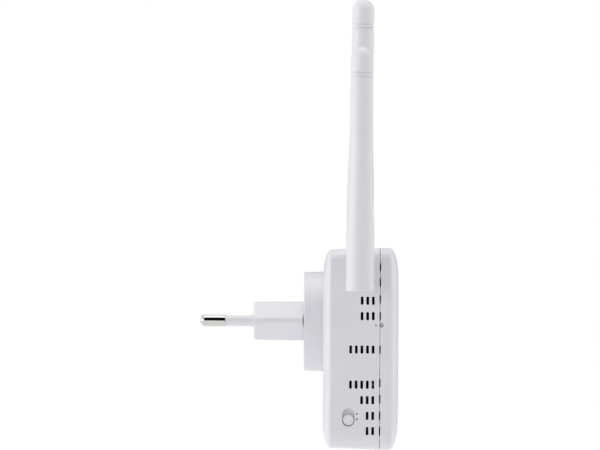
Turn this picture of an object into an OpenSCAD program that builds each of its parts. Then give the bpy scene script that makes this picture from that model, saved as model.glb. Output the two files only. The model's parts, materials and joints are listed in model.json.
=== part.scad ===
// Plug-in wireless range extender with two hinged antennas, in millimetres.
// Frame: origin at the centre of the plug block's face, between the pins.
// +Y points into the wall socket, +Z up, and the front face looks along -Y.

/* [Body] */
// Width of the housing
body_w = 58; // [56:0.5:62]
// Height of the housing
body_h = 70.8; // [69:0.2:74]
// Height of the housing's top above the plug axis
body_top = 25.7; // [25:0.1:26.5]
// Distance from the plug face back to the housing's rear face
rear_face_y = -24.7; // [-26:0.1:-24]
// Depth of the rear cover, from its rear face to the seam
rear_depth = 19.8; // [19.5:0.1:20.1]
// Depth of the front cover, from the seam to the front face
front_depth = 6.6; // [6.4:0.1:7]
// Radius of the housing's four long corners
corner_r = 5; // [4:0.5:7]
// Thickness of the housing's walls
wall = 1.8; // [1.6:0.1:2]
// Draft of the rear cover's side walls, in degrees
draft = 1.9; // [0.5:0.1:2.5]

/* [Plug] */
// Distance between the two pins
pin_pitch = 18.6; // [18:0.1:19.2]
// Diameter of a pin's bare end
pin_d = 4.0; // [3.94:0.01:4.06]
// Length that a pin stands out of the plug face
pin_len = 19; // [18.5:0.1:19.5]
// Length of a pin's bare metal end
pin_bare = 8.8; // [8.5:0.1:10]
// Width of the plug block across its two ridges
plug_w = 35.3; // [34.6:0.1:35.4]
// Height of the plug block at its face
plug_h = 13.4; // [13.1:0.1:13.7]
// Depth of the plug block, from its face to the round pedestal
plug_depth = 17.7; // [17:0.1:18.5]
// Diameter of the round pedestal at the plug block
pedestal_d = 35.1; // [34.9:0.1:35.3]

/* [Antennas] */
// Length of the left antenna, from its foot to its tip
left_len = 85.6; // [80:0.1:95]
// Length of the right antenna, from its foot to its tip
right_len = 107.8; // [95:0.1:115]
// Diameter of an antenna at its foot
foot_d = 9.8; // [9.4:0.1:10.2]
// Diameter of an antenna just below its tip
tip_d = 7.9; // [7.4:0.1:8.2]
// Height of the antennas' feet above the plug axis
foot_z = 10.2; // [9.5:0.1:11]
// Forward lean of the left antenna at rest, in degrees
left_lean = 0.25; // [0:0.05:2]
// Forward lean of the right antenna at rest, in degrees
right_lean = 0.6; // [0:0.05:2]

/* [Side wall] */
// Height of one ventilation slot
slot_h = 2.9; // [2.5:0.1:3.2]
// Width of one ventilation slot
slot_w = 1.05; // [0.9:0.05:1.2]
// Distance between neighbouring slots in a row
slot_pitch = 1.96; // [1.9:0.02:2.1]
// Travel of the power switch's knob
knob_travel = 1.8; // [1.6:0.1:1.9]
// Diameter of the power switch's knob
knob_d = 3.7; // [3.5:0.1:3.8]

/* [Hidden] */
$fn = 48;

LEFT = -1;
RIGHT = 1;
gap = 0.05;            // between pieces that are fixed to each other
play = 0.1;            // between pieces that move and their neighbours
overrun = 1;           // how far a cut runs past the wall it opens

// Housing
seam_y = rear_face_y - rear_depth;
front_y = seam_y - front_depth;
mid_z = body_top - body_h / 2;
body_bottom = body_top - body_h;
rear_edge = [2.8, 7.5];     // rear edge's quarter ellipse: depth, then reach over the face
front_edge = [3.3, 10.2];   // front edge's quarter ellipse
corner_growth = 0.5;        // how fast the corners widen where the outline draws in
seam_chamfer = 0.25;
edge_steps = 6;
inner_rear_y = rear_face_y - wall;
inner_front_y = front_y + wall;
side_x = body_w / 2;
inner_x = side_x - wall;

// Plug
draft_h = 0.2;              // growth of the block's half height towards its root
pedestal_y = -plug_depth;
pedestal_wall = 1.8;
spigot = [27, 3.2, 9.6];    // the block's neck through the pedestal's end wall
core_d = 3.0;               // a pin's metal under its sleeve
sleeve_d = 3.68;
sleeve_root_d = 4.2;        // flare of the sleeve where it meets the block
sleeve_hold = 4;            // length of sleeve that the block holds
pin_end_y = -21.6;

// Vents: height of each row, and its number of slots, counted from the seam
vent_rows = [[7.1, 3], [1.7, 3], [-10, 5], [-22.3, 5], [-27.7, 3], [-33.2, 2], [-38.5, 2]];
seam_notches = [18.9, 13.5, 7.6, 1.7, -10, -21.6, -27.3, -33.1, -38.5];
first_slot_y = seam_y + 2.36;
reset_at = [-side_x, seam_y - 0.5, -1.5];
reset_d = 1.45;

// Boards
board_t = 1.6;
power_board_y = [-29.6, -28.0];
main_board_y = [-44.0, -42.8];
board_x = 24.5;
board_top = 17;
cover_screw_at = [[-18, 20.2], [18, 20.2], [-12.5, -38.3], [12.5, -38.3]];
main_screw_at = [[-21, -22], [21, -22]];
power_screw_at = [[-21.5, 13], [21.5, 13]];

// Antennas
antenna_y = -37.4;
antenna_x = side_x + 0.45 + foot_d / 2;
pivot_z = foot_z + 5;
shaft_d = 5.0;
shaft_bore_d = 5.1;
wall_x = side_x - (antenna_y - seam_y) * tan(draft);
boss_x = inner_x - 1.2;

// Power switch
recess_at = [-33.6, -33.75];
recess = [4.4, 6.3, 1.3];
knob_z = recess_at[1] - knob_travel / 2;

// Front
button_at = [0, -27];
button_size = [13, 5.4];
button_travel = 0.4;
led_z = 9;
led_pitch = 6;
led_x = [for (i = [-2:2]) i * led_pitch];
window_d = 2.2;

white = [0.93, 0.93, 0.95];
steel = [0.78, 0.77, 0.74];
gold = [0.83, 0.68, 0.35];
black = [0.09, 0.09, 0.1];
board_green = [0.1, 0.36, 0.2];

// The two ends of a stretch about its middle
function span(middle, half) = [middle - half, middle + half];

// Corner points of a rectangle with round corners, about the origin
function round_rect(w, h, r, n = 6) = [
    for (q = [0:3], i = [0:n])
        let (a = 90 * (q + i / n),
             sx = (q == 0 || q == 3) ? 1 : -1,
             sy = (q < 2) ? 1 : -1)
        [sx * (w / 2 - r) + r * cos(a), sy * (h / 2 - r) + r * sin(a)]
];

// A plate of the X-Z outline that spans the depths y0 to y1
module plate(points, y0, y1) {
    translate([0, max(y0, y1), 0]) rotate([90, 0, 0])
        linear_extrude(abs(y1 - y0)) polygon(points);
}

// The housing's outline at one depth, drawn in by an inset on every side
module slice(y, inset) {
    translate([0, 0, mid_z])
        plate(round_rect(body_w - 2 * inset, body_h - 2 * inset, corner_r + corner_growth * inset),
              y, y - 0.01);
}

// How far a quarter-ellipse edge draws in the outline at height t of its depth
function edge_inset(edge, t) = edge[1] * (1 - sqrt(1 - pow(1 - t, 2)));

module rear_skin() {
    hull() {
        for (i = [0:edge_steps]) let (t = 1 - cos(90 * i / edge_steps))
            slice(rear_face_y - t * rear_edge[0],
                  edge_inset(rear_edge, t) + (rear_depth - t * rear_edge[0]) * tan(draft));
        slice(seam_y + seam_chamfer, seam_chamfer * tan(draft));
        slice(seam_y + 0.01, seam_chamfer);
    }
}

module front_skin() {
    hull() {
        for (i = [0:edge_steps]) let (t = 1 - cos(90 * i / edge_steps))
            slice(front_y + t * front_edge[0] + 0.01, edge_inset(front_edge, t));
        slice(seam_y - seam_chamfer, 0);
        slice(seam_y, seam_chamfer);
    }
}

// A straight-sided hollow inside the housing
module cavity(y0, y1, side = wall) {
    translate([0, 0, mid_z])
        plate(round_rect(body_w - 2 * side, body_h - 2 * side, corner_r - 1.5), y0, y1);
}

module post(at, y0, y1, d) {
    translate([at[0], max(y0, y1), at[1]]) rotate([90, 0, 0]) cylinder(d = d, h = abs(y1 - y0));
}

module box(x, y, z) {
    translate([min(x), min(y), min(z)])
        cube([abs(x[1] - x[0]), abs(y[1] - y[0]), abs(z[1] - z[0])]);
}

// A rod along X
module rod_x(at, x1, d) {
    translate([min(at[0], x1), at[1], at[2]]) rotate([0, 90, 0]) cylinder(d = d, h = abs(x1 - at[0]));
}

// An outline with half-round ends, standing along Z
module upright_slot(y, z, w, h, x0, x1) {
    for (end = [-1, 1]) rod_x([x0, y, z + end * (h - w) / 2], x1, w);
    box([x0, x1], span(y, w / 2), span(z, (h - w) / 2));
}

module vents(side) {
    for (row = vent_rows, i = [0:row[1] - 1]) {
        y = first_slot_y + i * slot_pitch;
        box(side * [inner_x - overrun, side_x + overrun], span(y, slot_w / 2), span(row[0], slot_h / 2));
    }
    for (z = seam_notches)
        box(side * [side_x - 1, side_x + overrun], [seam_y - 0.01, seam_y + 0.45], span(z, 1.5));
}

module rear_cover() {
    color(white) difference() {
        union() {
            difference() {
                rear_skin();
                cavity(inner_rear_y, seam_y - overrun);
            }
            // pedestal
            rotate([90, 0, 0]) translate([0, 0, plug_depth])
                cylinder(d1 = pedestal_d, d2 = pedestal_d + 0.5, h = pedestal_y - rear_face_y + 0.5);
            // bosses round the antenna shafts
            for (side = [LEFT, RIGHT])
                rod_x([side * (inner_x + 0.4), antenna_y, pivot_z], side * boss_x, 9);
            // the power switch's pocket
            box([-inner_x - 0.4, -inner_x + 0.6], span(recess_at[0], 3.2), span(recess_at[1], 4.2));
            for (at = cover_screw_at) post(at, inner_rear_y + 0.4, -36, 7.6);
            for (at = power_screw_at) post(at, inner_rear_y + 0.4, power_board_y[1] + gap, 4.6);
        }
        // inside of the pedestal and the opening for the plug block's neck
        rotate([90, 0, 0]) translate([0, 0, plug_depth + pedestal_wall])
            cylinder(d = pedestal_d - 2 * pedestal_wall, h = rear_depth);
        box(span(0, spigot[0] / 2 + gap), [pedestal_y + overrun, pedestal_y - 3],
            span(0, spigot[2] / 2 + gap));
        for (side = [LEFT, RIGHT]) {
            vents(side);
            rod_x([side * (side_x + overrun), antenna_y, pivot_z], side * (boss_x - overrun), shaft_bore_d);
        }
        for (at = cover_screw_at) {
            post(at, rear_face_y + overrun, -33.5, 5.6);
            post(at, -33, -36 - overrun, 2.5);
        }
        for (at = power_screw_at) post(at, -26.7, power_board_y[1], 1.6);
        rod_x([-side_x - overrun, reset_at[1], reset_at[2]], -inner_x + overrun, reset_d);
        upright_slot(recess_at[0], recess_at[1], recess[0], recess[1], -side_x - overrun,
                     -side_x + recess[2]);
        box([-side_x, -inner_x + overrun], span(recess_at[0], 0.85),
            span(recess_at[1], knob_travel / 2 + 1.2));
        // the network jack's mouth in the bottom wall
        box([-8.2, 8.2], [-29.1, main_board_y[1]], [body_bottom - overrun, body_bottom + 3]);
    }
}

module front_cover() {
    color(white) difference() {
        union() {
            difference() {
                front_skin();
                cavity(inner_front_y, seam_y + overrun);
            }
            // tongue that centres the cover inside the rear cover
            difference() {
                union() {
                    cavity(inner_front_y + overrun, seam_y + 1.1, wall + gap);
                    cavity(inner_front_y + overrun, seam_y - 0.3, wall - 0.2);
                }
                cavity(inner_front_y, seam_y + 2, wall + 0.85);
            }
            for (at = cover_screw_at) post(at, inner_front_y - 0.4, -36 - gap, 5.2);
            for (at = main_screw_at) post(at, inner_front_y - 0.4, main_board_y[0] - gap, 4.4);
            // guide round the pairing button
            translate([button_at[0], 0, button_at[1]])
                plate(round_rect(button_size[0] + 2.4, button_size[1] + 2.4, 3.8),
                      inner_front_y - 0.4, inner_front_y + 0.5);
        }
        for (at = cover_screw_at) post(at, inner_front_y + 1, -36 + overrun, 2.2);
        for (at = main_screw_at) post(at, inner_front_y + 0.5, main_board_y[0] + overrun, 1.6);
        for (x = led_x) post([x, led_z], front_y - overrun, inner_front_y + overrun, window_d + 0.1);
        translate([button_at[0], 0, button_at[1]])
            plate(round_rect(button_size[0] + 2 * play, button_size[1] + 2 * play, button_size[1] / 2),
                  front_y - overrun, inner_front_y + overrun);
        rod_x([-side_x - overrun, reset_at[1], reset_at[2]], -inner_x + overrun, reset_d);
        for (side = [LEFT, RIGHT], z = seam_notches)
            box(side * [side_x - 1, side_x + overrun], [seam_y, seam_y - 0.05], span(z, 1.5));
    }
}

// The block's six-sided outline with its upper and lower halves drawn in by a shift
function plug_outline(h) = [
    for (s = [1, -1]) each [
        [s * (plug_w / 2), -s * 1.0], [s * (plug_w / 2), s * 1.0],
        [s * 10.2, s * h / 2], [-s * 10.2, s * h / 2]
    ]
];

module plug_block() {
    color(white) difference() {
        union() {
            hull() {
                plate(plug_outline(plug_h), 0, -0.01);
                plate(plug_outline(plug_h + 2 * draft_h), pedestal_y + gap, pedestal_y + gap + 0.01);
            }
            box(span(0, spigot[0] / 2), [pedestal_y + 0.5, pedestal_y - spigot[1]],
                span(0, spigot[2] / 2));
        }
        for (side = [LEFT, RIGHT]) {
            post([side * pin_pitch / 2, 0], overrun, -sleeve_hold, sleeve_d + 2 * gap);
            post([side * pin_pitch / 2, 0], -3, pin_end_y - overrun, core_d + 0.04);
            // relief at the root of each ridge
            box(side * [plug_w / 2 - 0.45, plug_w / 2 + 1], [pedestal_y - 1, pedestal_y + 0.45],
                span(0, 2.25));
        }
    }
}

// A pin lying along Y, turned from bar with a rounded end
module plug_pin(side) {
    round_r = 1.5;
    color(steel) translate([side * pin_pitch / 2, 0, 0]) rotate([-90, 0, 0]) rotate_extrude()
        polygon(concat(
            [[0, pin_end_y], [core_d / 2, pin_end_y], [core_d / 2, pin_len - pin_bare],
             [pin_d / 2, pin_len - pin_bare]],
            [for (a = [0:15:90])
                [pin_d / 2 - round_r + round_r * cos(a), pin_len - round_r + round_r * sin(a)]],
            [[0, pin_len]]));
}

module pin_sleeve(side) {
    color(white) translate([side * pin_pitch / 2, 0, 0]) rotate([-90, 0, 0]) difference() {
        union() {
            translate([0, 0, gap - sleeve_hold])
                cylinder(d = sleeve_d, h = sleeve_hold + pin_len - pin_bare - 2 * gap);
            translate([0, 0, gap]) cylinder(d1 = sleeve_root_d, d2 = sleeve_d, h = 2);
        }
        translate([0, 0, -sleeve_hold - overrun]) cylinder(d = core_d + 0.04, h = pin_len);
    }
}

// A spring strip from a pin's inner end to the supply board
module contact_blade(side) {
    x = side * pin_pitch / 2;
    color(gold) {
        box(span(x, 2), [pin_end_y - 0.02, pin_end_y - 0.52], span(0, 2.5));
        box(span(x, 2), [pin_end_y - 0.52, power_board_y[1] + 0.02], [2, 2.5]);
    }
}

// A sheet on the rear wall, with its right edge folded forward behind the vents
module insulation_sheet() {
    color(black) difference() {
        union() {
            box([-25.5, 26.9], [inner_rear_y - 0.1, inner_rear_y - 0.4], [-34, 10]);
            box([-25.5, 25.5], [inner_rear_y - 0.1, inner_rear_y - 0.4], [9, 15]);
            box([26.6, 26.9], [inner_rear_y - 0.1, seam_y + 1.3], [-40.8, 10]);
        }
        for (side = [LEFT, RIGHT])
            box(span(side * pin_pitch / 2, 2.6), [inner_rear_y + 1, inner_rear_y - 1], span(0, 3.2));
        for (at = power_screw_at) post(at, inner_rear_y + 1, inner_rear_y - 1, 5.2);
    }
}

module power_board() {
    color(board_green) difference() {
        union() {
            box([-board_x, board_x], power_board_y, [-22, board_top]);
            box([-board_x, -16.8], power_board_y, [-40.5, -21]);
        }
        for (at = power_screw_at) post(at, power_board_y[0] - 1, power_board_y[1] + 1, 2.2);
        for (at = [[-18, 20.2], [18, 20.2]]) post(at, power_board_y[0] - 1, power_board_y[1] + 1, 8.4);
    }
}

parts_y = power_board_y[0] - 0.02;   // the supply board's component face

module fuse_resistor() {
    color([0.35, 0.55, 0.75]) rod_x([-21, parts_y - 1.9, 3.5], -12, 3.6);
    color(steel) for (x = [-22, -11.5])
        box(span(x, 0.3), [parts_y, parts_y - 1.9], span(3.5, 0.3));
}

module bridge_rectifier() {
    color(black) box([-22, -15.5], [parts_y, parts_y - 2.6], [-6, -1]);
}

// An electrolytic capacitor that lies along Z
module input_capacitor() {
    color([0.12, 0.16, 0.3]) translate([-5.5, parts_y - 5.1, -13.5]) cylinder(d = 10, h = 17);
}

module supply_controller() {
    color(black) box([-20, -15], [parts_y, parts_y - 1.6], [-14, -9]);
}

module transformer_core() {
    color([0.2, 0.2, 0.21]) difference() {
        box([4, 20], [parts_y - 2.2, parts_y - 7.2], [-14, -1]);
        for (x = [6.8, 13.9]) box([x, x + 3.3], [parts_y, parts_y - 9], [-11.6, -3.4]);
    }
}

module transformer_bobbin() {
    color(black) difference() {
        union() {
            box([5, 19], [parts_y, parts_y - 1.2], [-15.5, 0.5]);
            for (z = [-11, -4]) box([6.9, 17.1], [parts_y, parts_y - 8.4], span(z, 0.55));
        }
        box([10.05, 13.95], [parts_y - 2.15, parts_y - 7.25], [-12, -3]);
    }
}

module transformer_winding() {
    color([0.85, 0.7, 0.15]) difference() {
        box([6.9, 17.1], [parts_y - 1.25, parts_y - 8.4], [-10.4, -4.6]);
        box([10.05, 13.95], [parts_y - 2.15, parts_y - 7.25], [-11, -4]);
    }
}

module y_capacitor() {
    color([0.2, 0.4, 0.75]) translate([12, parts_y - 0.4, 5]) rotate([90, 0, 0]) cylinder(d = 3, h = 6.2);
    color([0.2, 0.4, 0.75]) translate([10.4, parts_y - 6.2, 5]) rotate([0, 90, 0]) cylinder(d = 7, h = 3.2);
}

module output_diode() {
    color(black) box([3, 7], [parts_y, parts_y - 2.3], [8, 10.6]);
}

module output_capacitor() {
    for (at = [[15.6, 12.6], [19.6, 4.6]])
        color([0.1, 0.3, 0.25]) post(at, parts_y, parts_y - 9.4, 6.3);
}

module board_link() {
    color(black) box([-13, -2.8], [parts_y, parts_y - 2.5], [11, 13.5]);
    color(gold) for (i = [0:3]) {
        x = -11.72 + i * 2.54;
        box(span(x, 0.32), [parts_y - 2.5, main_board_y[1] + 0.02], span(12.25, 0.32));
    }
}

module main_board() {
    color(board_green) difference() {
        box([-board_x, board_x], main_board_y, [body_bottom + 2.9, board_top]);
        for (at = [[-12.5, -38.3], [12.5, -38.3]]) post(at, main_board_y[0] - 1, main_board_y[1] + 1, 6);
        for (at = [[-18, 20.2], [18, 20.2]]) post(at, main_board_y[0] - 1, main_board_y[1] + 1, 8.4);
        for (at = main_screw_at) post(at, main_board_y[0] - 1, main_board_y[1] + 1, 2.2);
    }
}

chips_y = main_board_y[0] - 0.02;    // the main board's front face

module wifi_chip() {
    color(black) box([-5, 5], [chips_y, chips_y - 0.9], [-11, -1]);
}

module thermal_pad() {
    color([0.45, 0.6, 0.75]) box([-4.5, 4.5], [chips_y - 0.92, chips_y - 1.7], [-10.5, -1.5]);
}

module shield_can() {
    color(steel) difference() {
        box([-11, 11], [chips_y, chips_y - 2], [-17, 3]);
        box([-10.8, 10.8], [chips_y + 1, chips_y - 1.75], [-16.8, 2.8]);
    }
}

module memory_chip() {
    color(black) box([14, 19.2], [chips_y, chips_y - 1.7], [-10, -2]);
}

module clock_crystal() {
    color(steel) box([14.5, 17.7], [chips_y, chips_y - 0.8], [1.5, 4]);
}

module lan_magnetics() {
    color(black) box([-17.5, -10.7], [chips_y, chips_y - 3], [-34.9, -22.1]);
}

jack_y = [main_board_y[1] + 0.02, main_board_y[1] + 13.4];
jack_z = [body_bottom + 0.2, body_bottom + 18];
socket_y = [jack_y[0] + 3.6, jack_y[0] + 11.3];

module lan_jack() {
    color(black) difference() {
        box([-8, 8], jack_y, jack_z);
        box([-5.9, 5.9], socket_y, [jack_z[0] - 1, jack_z[0] + 13]);
        box([-2, 2], [socket_y[0] - 2.4, socket_y[0] + 1], [jack_z[0] - 1, jack_z[0] + 9]);
    }
}

module lan_contacts() {
    color(gold) for (i = [0:7]) {
        x = -3.57 + i * 1.02;
        box(span(x, 0.2), [socket_y[1] - 0.5, socket_y[1] - 0.05], [jack_z[0] + 5, jack_z[0] + 12.9]);
    }
}

module indicator_leds() {
    color([0.95, 0.93, 0.8]) for (x = led_x)
        box(span(x, 0.8), [chips_y, chips_y - 0.8], span(led_z, 0.4));
}

module light_guide() {
    color([0.9, 0.95, 1]) {
        for (x = led_x) post([x, led_z], chips_y - 0.95, front_y + 0.03, window_d);
        box([led_x[0] - 1.6, led_x[4] + 1.6], [inner_front_y + 0.05, inner_front_y + 1.25],
            span(led_z, 1.4));
    }
}

module pair_button() {
    color(white) translate([button_at[0], 0, button_at[1]]) {
        plate(round_rect(button_size[0], button_size[1], button_size[1] / 2 - 0.01),
              front_y - 0.1, inner_front_y + 1);
        plate(round_rect(button_size[0] + 1.8, button_size[1] + 1.8, 3.4),
              inner_front_y + 0.55, inner_front_y + 1.15);
    }
    color(white) post(button_at, inner_front_y + 1, -47.4 - 0.02, 2.6);
}

module pair_switch() {
    color(black) difference() {
        box(span(0, 3), [chips_y, chips_y - 2.4], span(button_at[1], 3));
        post(button_at, chips_y - 1.2, chips_y - 3, 3.6);
    }
}

module pair_switch_stem() {
    color([0.3, 0.3, 0.32]) post(button_at, -47.4, chips_y - 1.9, 3.4);
}

reset_box = [-board_x, -board_x + 3.4];

module reset_switch() {
    color(steel) difference() {
        box(reset_box, [chips_y, chips_y - 1.8], span(reset_at[2], 2.2));
        box([-board_x - 1, -board_x + 1.2], span(reset_at[1], 0.55), span(reset_at[2], 1));
    }
}

module reset_stem() {
    color(white) {
        box([-board_x - 0.8, -board_x + 0.7], span(reset_at[1], 0.45), span(reset_at[2], 0.9));
        rod_x([-board_x - 0.5, reset_at[1], reset_at[2]], -side_x + 0.7, 1.1);
    }
}

module power_switch() {
    color(black) difference() {
        box([-24.6, -19.6], [parts_y, recess_at[0] - 3.4], span(recess_at[1], 6.4));
        box([-26, -22.4], span(recess_at[0], 0.9), span(recess_at[1], knob_travel / 2 + 1.1));
    }
}

module power_knob() {
    color(white) {
        rod_x([-side_x + 0.1, recess_at[0], knob_z], -side_x + recess[2] - 0.15, knob_d);
        box([-side_x + recess[2] - 0.2, -22.7], span(recess_at[0], 0.7), span(knob_z, 0.9));
    }
}

// The mast's taper: distance below its tip, and share of the foot's extra radius left there
mast_taper = [
    [68.6, 1], [65.6, 0.92], [62.6, 0.81], [59.6, 0.66], [55.6, 0.47], [50.6, 0.33],
    [45.6, 0.22], [39.6, 0.15], [31.6, 0.07], [21.6, 0.02], [12, 0]
];
ring_grooves = [10.6, 9.2];     // distance of each groove from the tip
groove_w = 0.6;
groove_depth = 0.35;

// Outline of an antenna's outside, from foot to tip
function mast_outline(len) =
    let (r = tip_d / 2, cap = r * 0.97)
    concat(
        [[0, 0], [foot_d / 2 - 0.5, 0], [foot_d / 2 - 0.15, 0.15], [foot_d / 2, 0.5]],
        [for (row = mast_taper) [r + (foot_d / 2 - r) * row[1], len - row[0]]],
        [for (g = ring_grooves) each [
            [r, len - g - groove_w / 2], [r - groove_depth, len - g - groove_w / 2],
            [r - groove_depth, len - g + groove_w / 2], [r, len - g + groove_w / 2]]],
        [for (a = [0:10:80]) [r * cos(a), len - cap + cap * sin(a)]],
        [[0, len]]);

// Places a piece that is drawn upright on its foot at one antenna
module at_antenna(side) {
    lean = side == LEFT ? left_lean : right_lean;
    translate([side * antenna_x, antenna_y, pivot_z]) rotate([lean, 0, 0])
        translate([0, 0, foot_z - pivot_z]) children();
}

bore_len = function (len) len - 14;

module antenna_sleeve(side, len) {
    color(white) at_antenna(side) difference() {
        union() {
            rotate_extrude() polygon(mast_outline(len));
            rod_x([0, 0, 5], -side * (antenna_x - wall_x - 0.25), 8.4);
        }
        translate([0, 0, 8.5]) cylinder(d = 4.6, h = bore_len(len) - 8.5);
        rod_x([side * 2.6, 0, 5], -side * foot_d, shaft_d + 0.04);
        translate([0, 0, 5]) cylinder(d = 2.2, h = 5);
    }
}

module antenna_radiator(side, len) {
    color(gold) at_antenna(side) {
        translate([0, 0, 8.6]) cylinder(d = 1.4, h = bore_len(len) - 10);
        translate([0, 0, 24]) cylinder(d = 4.4, h = (bore_len(len) - 26) * 0.45);
    }
}

// The hollow shaft that an antenna turns on, fixed in the antenna's foot
module antenna_shaft(side) {
    color(steel) difference() {
        rod_x([side * (antenna_x + 2.5), antenna_y, pivot_z], side * (boss_x - 2.6), shaft_d);
        rod_x([side * (antenna_x + 1.5), antenna_y, pivot_z], side * (boss_x - 4), 2.4);
    }
}

module shaft_washer(side) {
    color(steel) difference() {
        rod_x([side * (boss_x - 0.1), antenna_y, pivot_z], side * (boss_x - 0.6), 8.6);
        rod_x([side * (boss_x + 1), antenna_y, pivot_z], side * (boss_x - 2), shaft_d + 0.04);
    }
}

module shaft_nut(side) {
    color(gold) difference() {
        rod_x([side * (boss_x - 0.62), antenna_y, pivot_z], side * (boss_x - 2.3), 7.6);
        rod_x([side * (boss_x + 1), antenna_y, pivot_z], side * (boss_x - 4), shaft_d + 0.04);
    }
}

lead_d = 1.2;
lead_sides = 8;

// The path of a lead from a shaft's inner end to its socket on the main board
function lead_path(side) = [
    [side * (boss_x - 3.2), antenna_y, pivot_z], [side * (boss_x - 4.6), antenna_y - 0.3, pivot_z - 0.6],
    [side * (boss_x - 5.8), antenna_y - 1.6, pivot_z - 1.8], [side * (boss_x - 6.4), antenna_y - 3, pivot_z - 3],
    [side * (boss_x - 6.6), main_board_y[1] + 1.3, pivot_z - 4.4]];

// A round tube that follows a path
module tube(path, d, sides) {
    last = len(path) - 1;
    function way(i) = let (a = path[min(i + 1, last)] - path[max(i - 1, 0)]) a / norm(a);
    rings = [for (i = [0:last])
        let (w = way(i), u = cross(w, [0, 0, 1]), v = cross(w, u / norm(u)))
        each [for (k = [0:sides - 1])
            path[i] + d / 2 * (cos(360 * k / sides) * u / norm(u) + sin(360 * k / sides) * v)]];
    walls = [for (i = [0:last - 1], k = [0:sides - 1])
        let (a = i * sides + k, b = i * sides + (k + 1) % sides)
        each [[a, b, b + sides], [a, b + sides, a + sides]]];
    ends = [[for (k = [sides - 1:-1:0]) k], [for (k = [0:sides - 1]) last * sides + k]];
    polyhedron(points = rings, faces = concat(ends, walls));
}

module antenna_lead(side) {
    color([0.2, 0.2, 0.22]) tube(lead_path(side), lead_d, lead_sides);
}

module lead_sockets() {
    color(gold) for (side = [LEFT, RIGHT])
        post([side * (boss_x - 6.6), pivot_z - 4.4], main_board_y[1] + 0.02, main_board_y[1] + 0.85, 2.6);
}

// A pan-head screw along Y: its head stands on y, and its shank points towards the front (-1) or rear (1)
module screw(at, y, way, head, shank) {
    post(at, y, y - way * head[1], head[0]);
    post(at, y - way * 0.2, y + way * shank[1], shank[0]);
}

module cover_screws() {
    color(steel) for (at = cover_screw_at) screw(at, -33.5 + gap, -1, [4.8, 1.7], [2.2, 9]);
}

module board_screws() {
    color(steel) {
        for (at = main_screw_at) screw(at, main_board_y[1] + 0.02, -1, [3.6, 1.2], [1.6, 4]);
        for (at = power_screw_at) screw(at, power_board_y[0] - 0.02, 1, [3.6, 1.2], [1.6, 2.8]);
    }
}

rear_cover();
front_cover();
plug_block();
plug_pin(LEFT);  // left_plug_pin
plug_pin(RIGHT);  // right_plug_pin
pin_sleeve(LEFT);  // left_pin_sleeve
pin_sleeve(RIGHT);  // right_pin_sleeve
contact_blade(LEFT);  // left_contact_blade
contact_blade(RIGHT);  // right_contact_blade
insulation_sheet();
power_board();
fuse_resistor();
bridge_rectifier();
input_capacitor();
supply_controller();
transformer_core();
transformer_bobbin();
transformer_winding();
y_capacitor();
output_diode();
output_capacitor();
board_link();
main_board();
wifi_chip();
thermal_pad();
shield_can();
memory_chip();
clock_crystal();
lan_magnetics();
lan_jack();
lan_contacts();
indicator_leds();
light_guide();
pair_button();
pair_switch();
pair_switch_stem();
reset_switch();
reset_stem();
power_switch();
power_knob();
antenna_sleeve(LEFT, left_len);  // left_antenna_sleeve
antenna_sleeve(RIGHT, right_len);  // right_antenna_sleeve
antenna_radiator(LEFT, left_len);  // left_antenna_radiator
antenna_radiator(RIGHT, right_len);  // right_antenna_radiator
antenna_shaft(LEFT);  // left_antenna_shaft
antenna_shaft(RIGHT);  // right_antenna_shaft
shaft_washer(LEFT);  // left_shaft_washer
shaft_washer(RIGHT);  // right_shaft_washer
shaft_nut(LEFT);  // left_shaft_nut
shaft_nut(RIGHT);  // right_shaft_nut
antenna_lead(LEFT);  // left_antenna_lead
antenna_lead(RIGHT);  // right_antenna_lead
lead_sockets();
cover_screws();
board_screws();
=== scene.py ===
import json
import math

import bpy
import numpy as np
from mathutils import Matrix, Vector


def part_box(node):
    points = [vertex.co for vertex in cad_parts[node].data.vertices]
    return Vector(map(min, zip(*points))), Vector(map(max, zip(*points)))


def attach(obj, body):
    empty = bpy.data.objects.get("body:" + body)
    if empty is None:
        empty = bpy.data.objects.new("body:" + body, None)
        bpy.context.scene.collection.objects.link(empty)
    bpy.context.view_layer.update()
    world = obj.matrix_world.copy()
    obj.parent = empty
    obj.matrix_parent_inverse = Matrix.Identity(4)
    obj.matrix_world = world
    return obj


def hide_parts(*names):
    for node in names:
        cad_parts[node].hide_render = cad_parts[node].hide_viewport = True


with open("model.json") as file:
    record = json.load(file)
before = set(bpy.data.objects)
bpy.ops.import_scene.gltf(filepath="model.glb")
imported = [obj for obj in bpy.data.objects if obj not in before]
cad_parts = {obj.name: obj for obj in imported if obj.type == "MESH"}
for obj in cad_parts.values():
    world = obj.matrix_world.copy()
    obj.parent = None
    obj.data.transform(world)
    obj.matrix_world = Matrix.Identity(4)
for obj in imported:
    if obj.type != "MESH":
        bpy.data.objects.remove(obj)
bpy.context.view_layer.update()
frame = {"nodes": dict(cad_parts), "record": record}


# ---------------------------------------------------------------------------------------------
# Rear cover
# One injection moulding in white ABS: a drafted tray whose rear edge is a soft quarter ellipse,
# with a round pedestal for the plug, side vents, a switch recess and bosses for the screws.
# ---------------------------------------------------------------------------------------------
MM = 0.001
LEFT, RIGHT = -1, 1
CORNER_STEPS = 14
SIDE_STEPS = 8


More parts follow.
